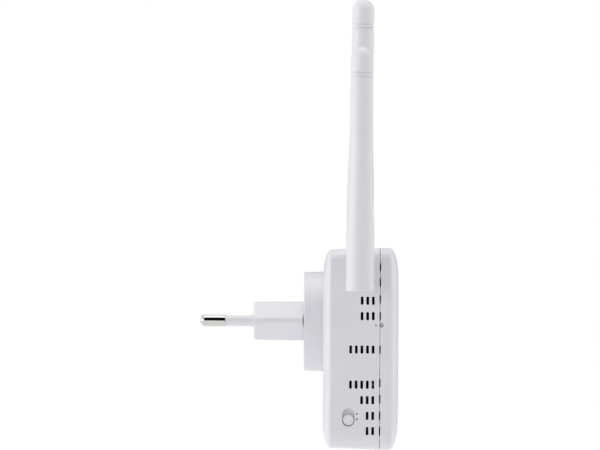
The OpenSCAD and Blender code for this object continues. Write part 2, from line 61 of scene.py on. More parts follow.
def corner_weights(corner_steps, side_steps):
    """For each outline point, the weight of the corner centre's offset and of the corner radius.
    A corner's points turn through a quarter circle, and a side's points run evenly to the next corner."""
    turn = np.linspace(0, np.pi / 2, corner_steps + 1)
    share = np.arange(1, side_steps + 1) / (side_steps + 1)
    centres, radii = [], []
    for quarter in range(4):
        here = np.array([(1, 1), (-1, 1), (-1, -1), (1, -1)][quarter], float)
        after = np.array([(-1, 1), (-1, -1), (1, -1), (1, 1)][quarter], float)
        angle = turn + quarter * np.pi / 2
        centres += [np.tile(here, (len(turn), 1)), here + share[:, None] * (after - here)]
        radii += [np.stack([np.cos(angle), np.sin(angle)], 1)]
        radii += [np.tile(radii[-1][-1], (side_steps, 1))]
    return np.concatenate(centres), np.concatenate(radii)


def round_outline(width, height, radius, corner_steps=CORNER_STEPS, side_steps=SIDE_STEPS):
    """Outlines of round-cornered rectangles, one for each value given:
    point = (half size - radius) * corner sign + radius * (cos a, sin a)."""
    centres, radii = corner_weights(corner_steps, side_steps)
    size = np.stack(np.broadcast_arrays(np.atleast_1d(width), np.atleast_1d(height)), -1) / 2
    radius = np.atleast_1d(radius).astype(float)[:, None, None]
    return (size[:, None, :] - radius) * centres + radius * radii


def ring_mesh(name, parts, wrap=False):
    """One mesh of several skins, each a (rings, points, 3) array in millimetres. Point k of ring i
    joins k + 1 and ring i + 1 in a four-sided face. A skin is turned to face outwards by its signed
    volume, the sum of a . (b x c) / 6 over its triangles. Caps close the first and last rings,
    and wrap joins the last ring to the first."""
    vertices, faces = [], []
    for part in parts:
        rings, points = part.shape[:2]
        start = sum(len(v) for v in vertices)
        i, k = np.meshgrid(np.arange(rings if wrap else rings - 1), np.arange(points), indexing="ij")
        after_i, after_k = (i + 1) % rings, (k + 1) % points
        quads = np.stack([i * points + k, i * points + after_k,
                          after_i * points + after_k, after_i * points + k], -1).reshape(-1, 4)
        flat = part.reshape(-1, 3)
        a, b, c, d = (flat[quads[:, j]] for j in range(4))
        volume = (a * np.cross(b, c)).sum() + (a * np.cross(c, d)).sum()
        new = [list(q) for q in (quads + start).tolist()]
        if not wrap:
            first = np.arange(points)[::-1]
            last = np.arange(points) + (rings - 1) * points
            for loop in (first, last):
                fan = flat[loop]
                volume += (fan[0] * np.cross(fan[1:-1], fan[2:])).sum()
                new.append((loop + start).tolist())
        if volume < 0:
            new = [face[::-1] for face in new]
        vertices.append(flat)
        faces += new
    mesh = bpy.data.meshes.new(name)
    mesh.from_pydata((np.concatenate(vertices) * MM).tolist(), [], faces)
    mesh.validate()
    piece = bpy.data.objects.new(name, mesh)
    bpy.context.scene.collection.objects.link(piece)
    return piece


def carve(piece, other, operation="DIFFERENCE"):
    """Takes the other mesh's space away from the piece, or adds it, with an exact Boolean."""
    modifier = piece.modifiers.new("carve", "BOOLEAN")
    modifier.operation = operation
    modifier.solver = "EXACT"
    modifier.object = other
    result = piece.evaluated_get(bpy.context.evaluated_depsgraph_get())
    mesh = bpy.data.meshes.new_from_object(result)
    piece.modifiers.clear()
    piece.data = mesh
    bpy.data.objects.remove(other)


def finish_piece(piece, body, material, nodes=(), sharp=38):
    """Smooth shading that breaks at edges sharper than the angle, then the piece's body and finish."""
    mesh = piece.data
    mesh.materials.clear()
    mesh.materials.append(material)
    mesh.polygons.foreach_set("material_index", np.zeros(len(mesh.polygons), np.int32))
    mesh.shade_smooth()
    mesh.set_sharp_from_angle(angle=math.radians(sharp))
    weighted = piece.modifiers.new("even normals", "WEIGHTED_NORMAL")
    weighted.keep_sharp = True
    weighted.weight = 60
    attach(piece, body)
    if nodes:
        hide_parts(*nodes)
    return piece


class Value:
    """A number that varies over a surface. Each operator adds the Math node that works it out."""

    def __init__(self, tree, link):
        self.tree, self.link = tree, link

    def math(self, operation, *others):
        node = self.tree.nodes.new("ShaderNodeMath")
        node.operation = operation
        for socket, value in zip(node.inputs, (self, *others)):
            if isinstance(value, Value):
                self.tree.links.new(value.link, socket)
            else:
                socket.default_value = value
        return Value(self.tree, node.outputs[0])

    def __add__(self, other):
        return self.math("ADD", other)

    def __mul__(self, other):
        return self.math("MULTIPLY", other)

    def __sub__(self, other):
        return self.math("SUBTRACT", other)

    def __rsub__(self, other):
        return (self * -1.0) + other

    __radd__, __rmul__ = __add__, __mul__


class Finish:
    """A material under construction: its Principled shader, and one method for every other node."""

    def __init__(self, name, colour, roughness, **constants):
        self.material = bpy.data.materials.new(name)
        self.material.use_nodes = True
        self.tree = self.material.node_tree
        self.shader = self.tree.nodes["Principled BSDF"]
        self.shader.inputs["Base Color"].default_value = (*colour, 1)
        self.shader.inputs["Roughness"].default_value = roughness
        for socket, value in constants.items():
            self.shader.inputs[socket.replace("_", " ").title().replace("Ior", "IOR")].default_value = value
        self.place = self.node("ShaderNodeTexCoord", {}, {}, "Object")

    def node(self, kind, settings, values, output):
        """Adds a node, sets its settings, fills its sockets, and returns the named output."""
        node = self.tree.nodes.new(kind)
        for name, value in settings.items():
            setattr(node, name, value)
        for name, value in values.items():
            if isinstance(value, Value):
                self.tree.links.new(value.link, node.inputs[name])
            else:
                node.inputs[name].default_value = value
        return Value(self.tree, node.outputs[output])

    def noise(self, size, detail=2.0, rough=0.5):
        """Soft random values about 0.5, whose blotches are about size millimetres across."""
        values = {"Vector": self.place, "Scale": 1 / (size * MM), "Detail": detail, "Roughness": rough}
        return self.node("ShaderNodeTexNoise", {}, values, "Fac")

    def blend(self, share, first, second):
        """The colour that lies between two colours by a share from 0 to 1."""
        return self.node("ShaderNodeMix", {"data_type": "RGBA"}, {0: share, 6: (*first, 1), 7: (*second, 1)}, 2)

    def feed(self, socket, value):
        self.tree.links.new(value.link, self.shader.inputs[socket])

    def bump(self, height, depth):
        """Relief of depth millimetres where height goes from 0 to 1."""
        values = {"Height": height, "Distance": depth * MM, "Strength": 1.0}
        self.feed("Normal", self.node("ShaderNodeBump", {}, values, "Normal"))


def moulded_plastic(name, colour, shade, roughness, grain, grain_depth):
    """Moulded ABS: fine spark-eroded grain, faint flow marks in the colour, uneven gloss."""
    finish = Finish(name, colour, roughness, ior=1.5)
    flow = finish.noise(14, 3)
    grain_height = finish.noise(grain, 2, 0.6)
    finish.feed("Base Color", finish.blend(flow, colour, shade))
    finish.feed("Roughness", finish.noise(3, 3) * 0.10 + (roughness - 0.05))
    finish.bump(grain_height, grain_depth)
    return finish.material


white_abs = moulded_plastic("white_abs", (0.808, 0.794, 0.85), (0.775, 0.77, 0.80), 0.34, 0.16, 0.005)

body_low, body_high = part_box("rear_cover")
front_low, front_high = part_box("front_cover")
BODY_W = (body_high.x - body_low.x) / MM
BODY_H = (body_high.z - body_low.z) / MM
MID_Z = (body_high.z + body_low.z) / 2 / MM
FRONT_Y = front_low.y / MM
FRONT_DEPTH, REAR_DEPTH = 6.6, 19.8
SEAM_Y = FRONT_Y + FRONT_DEPTH
PEDESTAL_Y = body_high.y / MM
REAR_Y = SEAM_Y + REAR_DEPTH
GAP_HALF = 0.05
WALL = 1.8
CORNER_R = 5.0
CORNER_GROWTH = 0.5
DRAFT = math.tan(math.radians(1.9))
REAR_EDGE = (2.8, 7.5)
EDGE_STEPS = 12


def housing_rings(y, inset):
    """Outlines of the housing in the X-Z plane at depths y, each drawn in by its inset."""
    y, inset = np.atleast_1d(y).astype(float), np.atleast_1d(inset).astype(float)
    flat = round_outline(BODY_W - 2 * inset, BODY_H - 2 * inset, CORNER_R + CORNER_GROWTH * inset)
    return np.stack([flat[..., 0], np.broadcast_to(y[:, None], flat.shape[:2]), flat[..., 1] + MID_Z], -1)


def round_rings(like, y, radius):
    """Circles about the plug's axis, each point on the same bearing as the point of the ring given."""
    bearing = np.arctan2(like[:, 2], like[:, 0])
    y, radius = np.atleast_1d(y).astype(float)[:, None], np.atleast_1d(radius).astype(float)[:, None]
    return np.stack([radius * np.cos(bearing), y + 0 * bearing, radius * np.sin(bearing)], -1)


def quarter(steps):
    """Angles from 0 to a right angle."""
    return np.linspace(0, np.pi / 2, steps + 1)


def rear_skin():
    """The rear cover's whole skin as one closed run of rings: the plug's opening, the pedestal,
    the face, the soft edge, the drafted wall, the rim, then back along the inside."""
    turn = quarter(EDGE_STEPS)
    depth = REAR_Y - REAR_EDGE[0] * (1 - np.cos(turn))
    edge = housing_rings(depth, REAR_EDGE[1] * (1 - np.sin(turn)) + (depth - SEAM_Y) * DRAFT)
    rim = quarter(4)
    rim_r = 0.2
    rim_out = housing_rings(SEAM_Y + rim_r * (1 - np.sin(rim)) + GAP_HALF,
                            rim_r * (1 - np.cos(rim)))
    inside = housing_rings([SEAM_Y + GAP_HALF, SEAM_Y + GAP_HALF + 0.15, REAR_Y - WALL - 1.0,
                            REAR_Y - WALL - 0.3, REAR_Y - WALL],
                           [WALL - 0.15, WALL, WALL + 0.2, WALL + 0.5, WALL + 1.2])
    like = edge[0]
    neck = round_outline(27.1, 9.7, 0.8)[0]
    neck_rings = np.stack([np.stack([neck[:, 0], y + 0 * neck[:, 0], neck[:, 1]], -1)
                           for y in (PEDESTAL_Y - 1.8, PEDESTAL_Y)])
    lip = quarter(5)
    top_r, foot_r, lip_r = 17.55, 17.78, 0.35
    pedestal = round_rings(like, PEDESTAL_Y - lip_r * (1 - np.sin(lip[::-1])),
                           top_r - lip_r * (1 - np.cos(lip[::-1])))
    foot = round_rings(like, [REAR_Y + 0.25, REAR_Y + 0.09, REAR_Y], [foot_r, foot_r + 0.06, foot_r + 0.22])
    hollow = round_rings(like, [REAR_Y - WALL, PEDESTAL_Y - 2.1, PEDESTAL_Y - 1.8], [15.95, 15.95, 15.6])
    return np.concatenate([neck_rings, pedestal, foot, edge, rim_out, inside, hollow])


rear_cover = ring_mesh("rear_cover_shell", [rear_skin()], wrap=True)


def posts(places, y0, y1, diameter, count=40):
    """Upright round posts along Y at places in the X-Z plane."""
    angle = np.arange(count) * 2 * np.pi / count
    return [np.stack([np.stack([x + diameter / 2 * np.cos(angle), y + 0 * angle,
                                z + diameter / 2 * np.sin(angle)], -1) for y in (y0, y1)])
            for x, z in places]


def rods(places, x0, x1, diameter, count=40):
    """Round rods along X at places in the Y-Z plane."""
    angle = np.arange(count) * 2 * np.pi / count
    return [np.stack([np.stack([x + 0 * angle, y + diameter / 2 * np.cos(angle),
                                z + diameter / 2 * np.sin(angle)], -1) for x in (x0, x1)])
            for y, z in places]


SIDE_X = BODY_W / 2
INNER_X = SIDE_X - WALL
ANTENNA_Y, PIVOT_Z = -37.4, 15.2
COVER_SCREWS = [(-18, 20.2), (18, 20.2), (-12.5, -38.3), (12.5, -38.3)]
RECESS_Y, RECESS_Z = -33.6, -33.75
RECESS_W, RECESS_H, RECESS_DEPTH = 4.4, 6.3, 1.3
RESET_Y, RESET_Z, RESET_D = SEAM_Y - 0.5, -1.5, 1.45

carve(rear_cover, ring_mesh("screw_bosses", posts(COVER_SCREWS, REAR_Y - 1.2, -36, 7.6)), "UNION")
for side in (LEFT, RIGHT):
    boss = rods([(ANTENNA_Y, PIVOT_Z)], side * (INNER_X + 0.6), side * (INNER_X - 1.2), 9)
    carve(rear_cover, ring_mesh("shaft_boss", boss), "UNION")


def wall_x(y):
    """Distance of the rear cover's drafted side wall from the middle at depth y."""
    return SIDE_X - (y - SEAM_Y) * DRAFT


def side_cut(side, y, z, width, height, radius, floor, lip, steps=6):
    """A hole through a side wall: an outline on the Y-Z plane, carried inwards along X. Its mouth
    flares in a quarter circle of radius lip, and follows the wall's draft. floor is its depth."""
    turn = quarter(4)
    depth = np.concatenate([[-0.8], lip * np.sin(turn), [floor]])
    grow = np.concatenate([[lip], lip * (1 - np.cos(turn[::-1])), [0]])
    flat = round_outline(width + 2 * grow, height + 2 * grow, radius + grow, steps, 1)
    ring_y = flat[..., 0] + y
    x = side * (wall_x(ring_y) - depth[:, None])
    return np.stack([x, ring_y, flat[..., 1] + z], -1)


VENT_ROWS = [(7.1, 3), (1.7, 3), (-10, 5), (-22.3, 5), (-27.7, 3), (-33.2, 2), (-38.5, 2)]
NOTCH_ROWS = [18.9, 13.5, 7.6, 1.7, -10, -21.6, -27.3, -33.1, -38.5]
SLOT_W, SLOT_H, SLOT_PITCH = 1.05, 2.9, 1.96
FIRST_SLOT_Y = SEAM_Y + 2.36
vents = [side_cut(side, FIRST_SLOT_Y + i * SLOT_PITCH, z, SLOT_W - 0.1, SLOT_H - 0.1, 0.25, WALL + 1.0, 0.1)
         for side in (LEFT, RIGHT) for z, count in VENT_ROWS for i in range(count)]
carve(rear_cover, ring_mesh("vent_cutters", vents))
notches = [side_cut(side, SEAM_Y - 0.05, z, 0.5, 3.0, 0.2, depth, 0.02)
           for side, depth in ((LEFT, 3.4), (RIGHT, 1.6)) for z in NOTCH_ROWS]
carve(rear_cover, ring_mesh("notch_cutters", notches))
carve(rear_cover, ring_mesh("recess_cutter", [side_cut(LEFT, RECESS_Y, RECESS_Z, RECESS_W - 0.1,
                                                       RECESS_H - 0.1, RECESS_W / 2 - 0.06, RECESS_DEPTH,
                                                       0.15, 14)]))
for side in (LEFT, RIGHT):
    bore = rods([(ANTENNA_Y, PIVOT_Z)], side * (SIDE_X + 1), side * (INNER_X - 2), 5.1)
    carve(rear_cover, ring_mesh("shaft_bore", bore))
carve(rear_cover, ring_mesh("reset_cutter", rods([(RESET_Y, RESET_Z)], -SIDE_X - 1, -INNER_X + 1, RESET_D)))
carve(rear_cover, ring_mesh("screw_wells", posts(COVER_SCREWS, REAR_Y + 1, -33.5, 5.6)))
carve(rear_cover, ring_mesh("screw_bores", posts(COVER_SCREWS, -33, -37, 2.5)))
JACK_TOP_Y = -29.1
mouth = round_outline([17.0, 16.4, 16.4], [14.3, 13.7, 13.7], [0.9, 0.6, 0.6], 6, 1)
mouth_y = (JACK_TOP_Y - 42.8) / 2
BOTTOM_Z = body_low.z / MM
mouth_cut = np.stack([mouth[..., 0], mouth[..., 1] + mouth_y,
                      np.array([BOTTOM_Z - 0.5, BOTTOM_Z + 0.3, BOTTOM_Z + 3])[:, None] + 0 * mouth[..., 0]], -1)
carve(rear_cover, ring_mesh("mouth_cutter", [mouth_cut]))
finish_piece(rear_cover, "housing", white_abs, ["rear_cover"])


# ---------------------------------------------------------------------------------------------
# Front cover
# The matching moulding: a shallow tray with a pillowed face, a tongue that centres it in the
# rear cover, five windows for the lights and the opening of the pairing button.
# ---------------------------------------------------------------------------------------------
FRONT_EDGE = (3.3, 10.2)


def front_skin():
    """The front cover's skin: face, soft edge, wall, rim, tongue, and the inside back to the face."""
    turn = quarter(EDGE_STEPS)
    edge = housing_rings(FRONT_Y + FRONT_EDGE[0] * (1 - np.cos(turn)), FRONT_EDGE[1] * (1 - np.sin(turn)))
    rim = quarter(4)
    rim_out = housing_rings(SEAM_Y - GAP_HALF - 0.2 * (1 - np.sin(rim)), 0.2 * (1 - np.cos(rim)))
    tongue = housing_rings([SEAM_Y - GAP_HALF, SEAM_Y + 0.9, SEAM_Y + 1.1, SEAM_Y + 1.1,
                            FRONT_Y + WALL + 1.0, FRONT_Y + WALL + 0.3, FRONT_Y + WALL],
                           [WALL + 0.05, WALL + 0.05, WALL + 0.25, WALL + 0.85,
                            WALL + 0.85, WALL + 1.1, WALL + 1.8])
    return np.concatenate([edge, rim_out, tongue])


front_cover = ring_mesh("front_cover_shell", [front_skin()])
LED_Z, LED_PITCH, WINDOW_D = 9.0, 6.0, 2.2
LED_X = [i * LED_PITCH for i in range(-2, 3)]
windows = posts([(x, LED_Z) for x in LED_X], FRONT_Y - 1, FRONT_Y + WALL + 1, WINDOW_D + 0.1, 32)
carve(front_cover, ring_mesh("window_cutters", windows))
BUTTON_Z, BUTTON_W, BUTTON_H = -27.0, 13.0, 5.4


def front_outline(width, height, radius, y, z, steps=14):
    """Outlines in the X-Z plane at depths y, centred at height z."""
    y = np.array(y, float)
    flat = round_outline(width + 0 * y, height, radius + 0 * y, steps, 2)
    return np.stack([flat[..., 0], y[:, None] + 0 * flat[..., 0], flat[..., 1] + z], -1)


turn = quarter(4)
mouth_lip = 0.2
grow = np.concatenate([[mouth_lip], mouth_lip * (1 - np.cos(turn[::-1])), [0]])
cut_y = FRONT_Y + np.concatenate([[-0.8], mouth_lip * np.sin(turn), [WALL + 1]])
button_cut = front_outline(BUTTON_W + 0.2 + 2 * grow, BUTTON_H + 0.2 + 2 * grow,
                           BUTTON_H / 2 + 0.09 + grow, cut_y, BUTTON_Z)
carve(front_cover, ring_mesh("button_cutter", [button_cut]))
carve(front_cover, ring_mesh("notch_cutters", notches))
carve(front_cover, ring_mesh("reset_cutter", rods([(RESET_Y, RESET_Z)], -SIDE_X - 1, -INNER_X + 1.2, RESET_D)))
finish_piece(front_cover, "housing", white_abs, ["front_cover"])


# ---------------------------------------------------------------------------------------------
# Plug block
# The flattened six-sided insert of a two-pin mains plug, moulded in the same white plastic and
# welded to the pedestal. Its facets meet in a rounded ridge on each side.
# ---------------------------------------------------------------------------------------------
def rounded_polygon(corners, radii, steps):
    """An outline whose corners are arcs: each arc's centre lies on the corner's bisector at
    radius / sin(half angle), and its points turn from one side's normal to the next side's."""
    corners = np.array(corners, float)
    before, after = np.roll(corners, 1, 0) - corners, np.roll(corners, -1, 0) - corners
    before /= np.linalg.norm(before, axis=1)[:, None]
    after /= np.linalg.norm(after, axis=1)[:, None]
    bisector = before + after
    bisector /= np.linalg.norm(bisector, axis=1)[:, None]
    half = np.arccos(np.clip((before * after).sum(1), -1, 1)) / 2
    centres = corners + bisector * (np.array(radii) / np.sin(half))[:, None]
    outward = np.arctan2(-bisector[:, 1], -bisector[:, 0])
    swing = np.pi / 2 - half
    angle = outward[:, None] + swing[:, None] * np.linspace(-1, 1, steps + 1)
    radii = np.array(radii, float)[:, None]
    points = np.stack([centres[:, :1] + radii * np.cos(angle), centres[:, 1:] + radii * np.sin(angle)], -1)
    return points.reshape(-1, 2)


PLUG_W, PLUG_H = 35.3, 13.4
RIDGE_R, SHOULDER_R = 1.83, 1.6
SHOULDER_X = 10.1


def plug_rings(y, grow_h, inset):
    """The block's outline at depths y. The ridge corner is set so that its arc just reaches the
    full width, and the flats move out by grow_h towards the root."""
    rings = []
    for depth, extra, small in zip(y, grow_h, inset):
        half_h = PLUG_H / 2 + extra - small
        slope = math.atan2(half_h - 1.05, PLUG_W / 2 - SHOULDER_X)
        ridge_x = PLUG_W / 2 - small - RIDGE_R + RIDGE_R / math.sin(slope)
        shoulder_x = ridge_x - half_h / math.tan(slope)
        corners = [(ridge_x, 0), (shoulder_x, half_h), (-shoulder_x, half_h),
                   (-ridge_x, 0), (-shoulder_x, -half_h), (shoulder_x, -half_h)]
        flat = rounded_polygon(corners, [RIDGE_R, SHOULDER_R, SHOULDER_R] * 2, 10)
        rings.append(np.stack([flat[:, 0], depth + 0 * flat[:, 0], flat[:, 1]], -1))
    return np.stack(rings)


lip = quarter(5)
face_round = 0.45
y = np.concatenate([-face_round + face_round * np.cos(lip), [PEDESTAL_Y + 0.02]])
inset = np.concatenate([face_round - face_round * np.sin(lip), [0]])
ROOT_GROWTH = 0.2
grow_h = y / PEDESTAL_Y * ROOT_GROWTH
plug_block = ring_mesh("plug_block_moulding", [plug_rings(y, grow_h, inset)])
PIN_X = 9.3
carve(plug_block, ring_mesh("sleeve_bores", posts([(-PIN_X, 0), (PIN_X, 0)], 1, -4, 3.78)))
groove = round_outline(4.0, 4.0, 0.2, 4, 1)[0]
for side in (LEFT, RIGHT):
    groove_x = side * (PLUG_W / 2 + 0.4) + groove[:, 0]
    relief = np.stack([np.stack([groove_x, depth + 0 * groove_x, groove[:, 1]], -1)
                       for depth in (PEDESTAL_Y - 1, PEDESTAL_Y + 0.42)])
    carve(plug_block, ring_mesh("ridge_relief", [relief]))
finish_piece(plug_block, "housing", white_abs, ["plug_block"])


# ---------------------------------------------------------------------------------------------
# Plug pins and their sleeves
# Two turned brass pins, nickel plated and polished, with rounded ends. A white insulating sleeve
# covers the inner half of each and flares where it enters the block.
# ---------------------------------------------------------------------------------------------
def turned(profile, x, z, count=64):
    """A solid of revolution along Y: profile rows are (y, radius)."""
    angle = np.arange(count) * 2 * np.pi / count
    y, r = np.array(profile, float).T
    return np.stack([x + r[:, None] * np.cos(angle), y[:, None] + 0 * angle, z + r[:, None] * np.sin(angle)], -1)


PIN_LEN, PIN_BARE, PIN_R, CORE_R = 19.0, 8.8, 2.0, 1.5
tip = quarter(12)
tip_r = 1.55
pin_profile = [(-21.6, 0.05), (-21.6, CORE_R), (PIN_LEN - PIN_BARE - 0.02, CORE_R),
               (PIN_LEN - PIN_BARE - 0.02, PIN_R - 0.08), (PIN_LEN - PIN_BARE + 0.06, PIN_R)]
pin_profile += [(PIN_LEN - tip_r + tip_r * math.sin(a), PIN_R - tip_r + tip_r * math.cos(a)) for a in tip]
pin_profile += [(PIN_LEN, 0.02)]

polished = Finish("polished_nickel", (0.70, 0.68, 0.645), 0.07, metallic=1.0)
turning_lines = polished.node("ShaderNodeMapping", {}, {"Vector": polished.place, "Scale": (600, 9000, 600)}, 0)
lines = polished.node("ShaderNodeTexNoise", {}, {"Vector": turning_lines, "Scale": 1.0, "Detail": 2.0}, "Fac")
polished.feed("Roughness", lines * 0.05 + 0.03)
polished.bump(lines, 0.0006)
nickel = polished.material

sleeve_profile = [(-3.9, 1.52), (-3.9, 1.84), (-0.1, 1.86), (0.12, 2.1), (0.5, 2.02), (1.2, 1.9), (2.2, 1.84),
                  (PIN_LEN - PIN_BARE - 0.3, 1.84), (PIN_LEN - PIN_BARE - 0.12, 1.80),
                  (PIN_LEN - PIN_BARE - 0.05, 1.70), (PIN_LEN - PIN_BARE - 0.05, 1.52)]
for name, side in (("left", LEFT), ("right", RIGHT)):
    pin = ring_mesh(f"{name}_pin_turned", [turned(pin_profile, side * PIN_X, 0)])
    finish_piece(pin, "housing", nickel, [f"{name}_plug_pin"])
    sleeve = ring_mesh(f"{name}_sleeve_moulding", [turned(sleeve_profile, side * PIN_X, 0)], wrap=True)
    finish_piece(sleeve, "housing", white_abs, [f"{name}_pin_sleeve"], 50)


# ---------------------------------------------------------------------------------------------
# Antennas
# Each is a tapered white sleeve with two ring grooves below its round tip, over a brass
# radiator. A spigot at its foot meets the housing, and it swings on a hollow steel shaft.
# ---------------------------------------------------------------------------------------------
FOOT_R, TIP_R = 4.9, 3.95
GROOVE_W, GROOVE_DEPTH = 0.6, 0.35
MAST_TAPER = [(68.6, 1), (65.6, 0.92), (62.6, 0.81), (59.6, 0.66), (55.6, 0.47), (50.6, 0.33),
              (45.6, 0.22), (39.6, 0.15), (31.6, 0.07), (21.6, 0.02), (12, 0)]


def mast_profile(length):
    """Profile of a sleeve from its foot to its tip, as (height, radius) rows: a rounded rim, a level
    foot, a taper set by its distance below the tip, two round-floored grooves, an elliptical cap."""
    rim = quarter(6)
    rows = [(0, 0.05)] + [(0.6 - 0.6 * math.cos(a), FOOT_R - 0.6 + 0.6 * math.sin(a)) for a in rim]
    below_tip = np.linspace(length - 1.5, 12, 70)
    share = np.interp(below_tip, *np.array(MAST_TAPER[::-1]).T)
    rows += list(zip(length - below_tip, TIP_R + (FOOT_R - TIP_R) * share))
    for from_tip in (10.6, 9.2):
        across = np.linspace(-1, 1, 11)
        sunk = GROOVE_DEPTH * np.sqrt(np.clip(1 - across ** 2, 0, 1))
        rows += [(length - from_tip + u * GROOVE_W / 2, TIP_R - d) for u, d in zip(across, sunk)]
    cap_h = 3.85
    rows += [(length - cap_h + cap_h * math.sin(a), max(TIP_R * math.cos(a), 0.02)) for a in quarter(16)]
    return np.array(rows)


def mast(profile, count=72):
    """A sleeve's skin of revolution about Z, from its profile."""
    angle = np.arange(count) * 2 * np.pi / count
    h, r = profile.T
    return np.stack([r[:, None] * np.cos(angle), r[:, None] * np.sin(angle), h[:, None] + 0 * angle], -1)


def lean_on_pivot(skin, side, lean):
    """Moves an upright skin to its antenna: leans it forwards about the pivot, 5 mm above its foot."""
    c, s = math.cos(math.radians(lean)), math.sin(math.radians(lean))
    h = skin[..., 2] - 5.0
    y = skin[..., 1]
    return np.stack([skin[..., 0] + side * ANTENNA_X, ANTENNA_Y + y * c - h * s, PIVOT_Z + y * s + h * c], -1)


ANTENNA_X = SIDE_X + 0.45 + FOOT_R
COLLAR_R, COLLAR_EDGE = 4.2, 0.3
turn = quarter(5)
angle = np.arange(56) * 2 * np.pi / 56
for name, side, length, lean in (("left", LEFT, 85.6, 0.25), ("right", RIGHT, 107.8, 0.6)):
    skin = mast(mast_profile(length))
    antenna = ring_mesh(f"{name}_antenna_moulding", [lean_on_pivot(skin, side, lean)])
    face = side * (wall_x(ANTENNA_Y) + 0.25)
    along = np.concatenate([[side * ANTENNA_X], face + side * COLLAR_EDGE * (1 - np.sin(turn))])
    around = np.concatenate([[COLLAR_R], COLLAR_R - COLLAR_EDGE * (1 - np.cos(turn))])
    collar = np.stack([along[:, None] + 0 * angle, ANTENNA_Y + around[:, None] * np.cos(angle),
                       PIVOT_Z + around[:, None] * np.sin(angle)], -1)
    carve(antenna, ring_mesh("collar", [collar]), "UNION")
    finish_piece(antenna, f"{name}_antenna", white_abs, [f"{name}_antenna_sleeve"])


# ---------------------------------------------------------------------------------------------
# Power switch knob
# A small round slider in smooth white plastic, at the bottom of its oblong recess.
# ---------------------------------------------------------------------------------------------
smooth_abs = moulded_plastic("smooth_white_abs", (0.808, 0.794, 0.85), (0.78, 0.775, 0.81), 0.33, 0.3, 0.002)
KNOB_D, KNOB_Z = 3.7, RECESS_Z - 0.9
knob_low, knob_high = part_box("power_knob")
turn = quarter(6)
face_x = knob_low.x / MM
knob_x = np.concatenate([[face_x + 0.1, face_x + 0.06, face_x], face_x + 0.18 * (1 - np.cos(turn)),
                         [face_x + 1.05]])
knob_r = np.concatenate([[0.02, 1.0, KNOB_D / 2 - 0.42], KNOB_D / 2 - 0.18 + 0.18 * np.sin(turn), [KNOB_D / 2]])
angle = np.arange(64) * 2 * np.pi / 64
knob_skin = np.stack([knob_x[:, None] + 0 * angle, RECESS_Y + knob_r[:, None] * np.cos(angle),
                      KNOB_Z + knob_r[:, None] * np.sin(angle)], -1)
knob = ring_mesh("power_knob_moulding", [knob_skin])
stem = round_outline(1.4, 1.8, 0.2, 4, 1)[0]
stem_skin = np.stack([np.stack([x + 0 * stem[:, 0], RECESS_Y + stem[:, 0], KNOB_Z + stem[:, 1]], -1)
                      for x in (face_x + 0.9, -22.7)])
carve(knob, ring_mesh("knob_stem", [stem_skin]), "UNION")
finish_piece(knob, "power_knob", smooth_abs, ["power_knob"])


# ---------------------------------------------------------------------------------------------
# Printed marks
# Grey pad printing on the left wall: a pointer at the reset hole, and a dot and a pointer
# at the two ends of the power switch's travel.
# ---------------------------------------------------------------------------------------------
grey_ink = Finish("grey_ink", (0.42, 0.42, 0.44), 0.5)
grey_ink.feed("Base Color", grey_ink.blend(grey_ink.noise(0.5, 3), (0.26, 0.26, 0.28), (0.34, 0.34, 0.36)))


def printed(y, z, radius, corners, turn_by):
    """A film of ink 0.02 mm thick on the left wall: a polygon of that many corners about (y, z)."""
    angle = np.arange(corners) * 2 * np.pi / corners + turn_by
    ring_y, ring_z = y + radius * np.cos(angle), z + radius * np.sin(angle)
    return np.stack([np.stack([-(wall_x(ring_y) + lift), ring_y, ring_z], -1) for lift in (-0.05, 0.02)])


marks = ring_mesh("printed_marks", [
    printed(SEAM_Y + 1.4, RESET_Z, 0.55, 3, math.pi),
    printed(-36.55, -32.55, 0.4, 20, 0),
    printed(-36.55, -34.4, 0.62, 3, 0)])
finish_piece(marks, "housing", grey_ink.material)


# ---------------------------------------------------------------------------------------------
# Pairing button
# A smooth oblong cap in the front cover, slightly crowned, that presses the pairing switch.
# ---------------------------------------------------------------------------------------------
turn = quarter(6)
cap_round = 0.45
cap_inset = np.concatenate([[2.6, 2.0, 1.2, 0.7], cap_round * (1 - np.sin(turn))])
cap_y = FRONT_Y + np.concatenate([[-0.10, -0.10, -0.09, -0.06], -0.02 + cap_round * (1 - np.cos(turn))])
cap_inset = np.concatenate([cap_inset, [0, -0.9, -0.9, 0.5]])
cap_y = np.concatenate([cap_y, FRONT_Y + np.array([WALL + 0.55, WALL + 0.55, WALL + 1.15, WALL + 1.15])])
button = ring_mesh("pair_button_cap", [front_outline(
    BUTTON_W - 2 * cap_inset, BUTTON_H - 2 * cap_inset,
    np.maximum(BUTTON_H / 2 - cap_inset - 0.01, 0.05), cap_y, BUTTON_Z)])
carve(button, ring_mesh("button_stem", posts([(0, BUTTON_Z)], FRONT_Y + WALL + 0.9, -47.42, 2.6)), "UNION")
finish_piece(button, "pair_button", smooth_abs, ["pair_button"])


